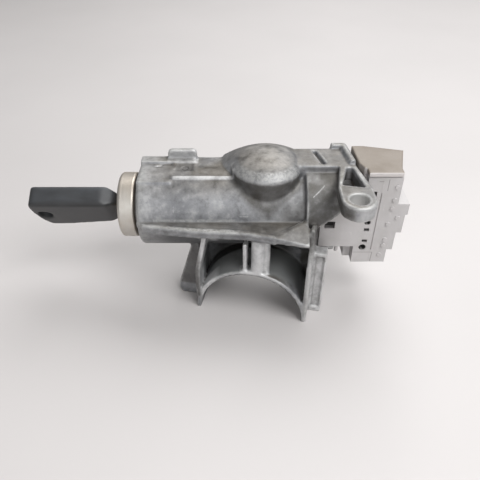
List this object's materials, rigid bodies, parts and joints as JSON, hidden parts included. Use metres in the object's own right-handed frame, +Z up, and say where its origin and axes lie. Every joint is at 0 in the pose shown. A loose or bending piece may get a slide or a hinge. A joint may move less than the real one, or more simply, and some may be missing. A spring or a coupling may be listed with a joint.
{
  "type": "ignition switch",
  "caption": "Die-cast ignition switch and steering lock with a key cylinder, lock bolt, electrical switch block and half-round column saddle.",
  "frame": {"origin": "on the steering column's axis, straight below the lock bolt", "axes": "+X along the lock axis from the key to the switch, +Z up from the column to the lock, +Y towards the back"},
  "size_m": [0.1817, 0.0634, 0.0772],
  "materials": {
    "cast_metal": "matte",
    "satin_metal": "satin",
    "dark_plastic": "satin",
    "steel": "satin",
    "dark_steel": "matte",
    "brass": "satin",
    "grey_plastic": "matte",
    "beige_plastic": "matte",
    "black_plastic": "matte"
  },
  "bodies": {
    "frame": {"housing": "cast_metal", "bezel_ring": "satin_metal", "cylinder_sleeve": "dark_steel", "sleeve_pin": "steel", "bolt_spring": "dark_steel", "switch_body": "grey_plastic", "switch_cover": "grey_plastic", "connector_shroud": "beige_plastic", "fixed_contacts": "brass", "terminals": "brass", "detent_plunger": "steel", "detent_spring": "dark_steel", "return_spring": "dark_steel", "switch_screws": "steel"},
    "lock_rotor": {"lock_plug": "brass", "cam_shaft": "steel", "shaft_circlip": "dark_steel", "switch_rotor": "black_plastic", "contact_bridge": "brass", "contact_springs": "steel", "upper_wafer_springs": "steel", "lower_wafer_springs": "steel"},
    "key": {"key_blade": "steel", "key_bow": "dark_plastic"},
    "upper_wafer_set": {"upper_wafers": "brass"},
    "lower_wafer_set": {"lower_wafers": "brass"},
    "bolt": {"lock_bolt": "steel"}
  },
  "joints": [
    {"name": "key_turn", "type": "hinge", "parent": "frame", "child": "lock_rotor", "pos_m": [0, 0, 0.048], "axis": [1, 0, 0], "range_deg": [0, 90], "deforming": ["return_spring"]},
    {"name": "key_pull", "type": "slide", "parent": "lock_rotor", "child": "key", "axis": [-1, 0, 0], "range_m": [0, 0.044]},
    {"name": "upper_wafer_slide", "type": "slide", "parent": "lock_rotor", "child": "upper_wafer_set", "axis": [0, -0.5446, 0.8387], "range_m": [0, 0.0012], "deforming": ["upper_wafer_springs"]},
    {"name": "lower_wafer_slide", "type": "slide", "parent": "lock_rotor", "child": "lower_wafer_set", "axis": [0, 0.5446, -0.8387], "range_m": [0, 0.0012], "deforming": ["lower_wafer_springs"]},
    {"name": "bolt_slide", "type": "slide", "parent": "frame", "child": "bolt", "axis": [0, 0, -1], "range_m": [0, 0.008], "deforming": ["bolt_spring"]}
  ],
  "couplings": [
    {"joint": "upper_wafer_slide", "follows": "key_pull", "ratio": 0.027273},
    {"joint": "lower_wafer_slide", "follows": "key_pull", "ratio": 0.027273},
    {"joint": "bolt_slide", "follows": "key_pull", "ratio": 0.18182}
  ]
}
